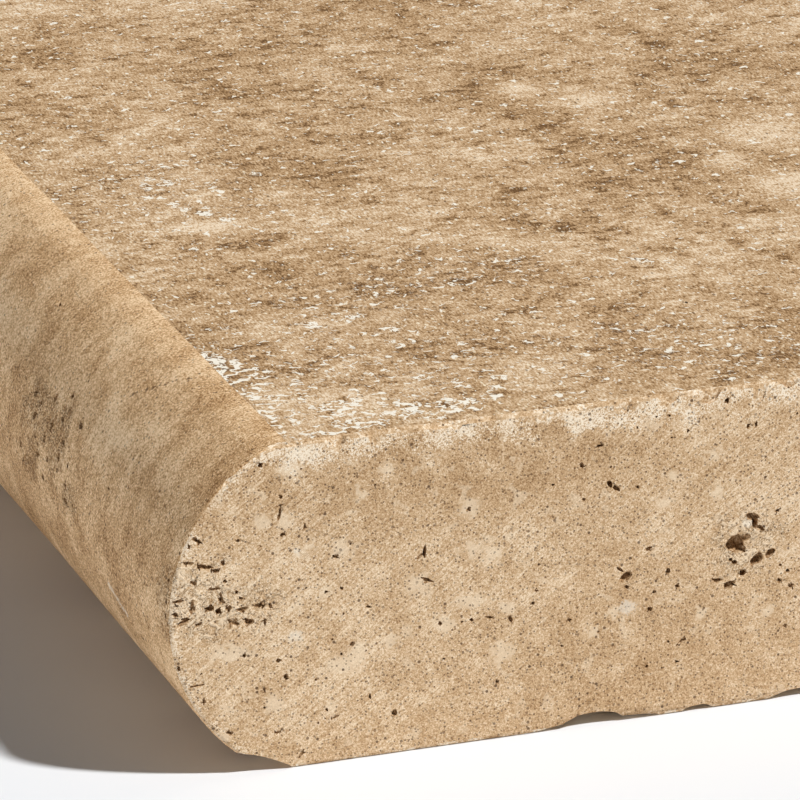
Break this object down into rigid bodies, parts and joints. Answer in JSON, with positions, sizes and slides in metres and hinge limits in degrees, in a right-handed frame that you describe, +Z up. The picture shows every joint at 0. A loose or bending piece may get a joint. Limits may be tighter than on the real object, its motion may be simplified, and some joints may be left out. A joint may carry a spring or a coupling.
{
  "type": "pool coping stone",
  "caption": "Solid travertine coping slab with a rounded nose along one long side and sawn ends and back, laid flat as the edge of a pool or step.",
  "frame": {"origin": "centre of the bounding box on the bedding face, which lies on the floor", "axes": "+Y along the length of the stone, +Z up out of the walking face, nose facing -X"},
  "size_m": [0.3049, 0.61, 0.05],
  "materials": {
    "travertine": "brushed top, honed nose and sawn ends"
  },
  "bodies": {
    "root": {"coping_stone": "travertine"}
  },
  "joints": []
}
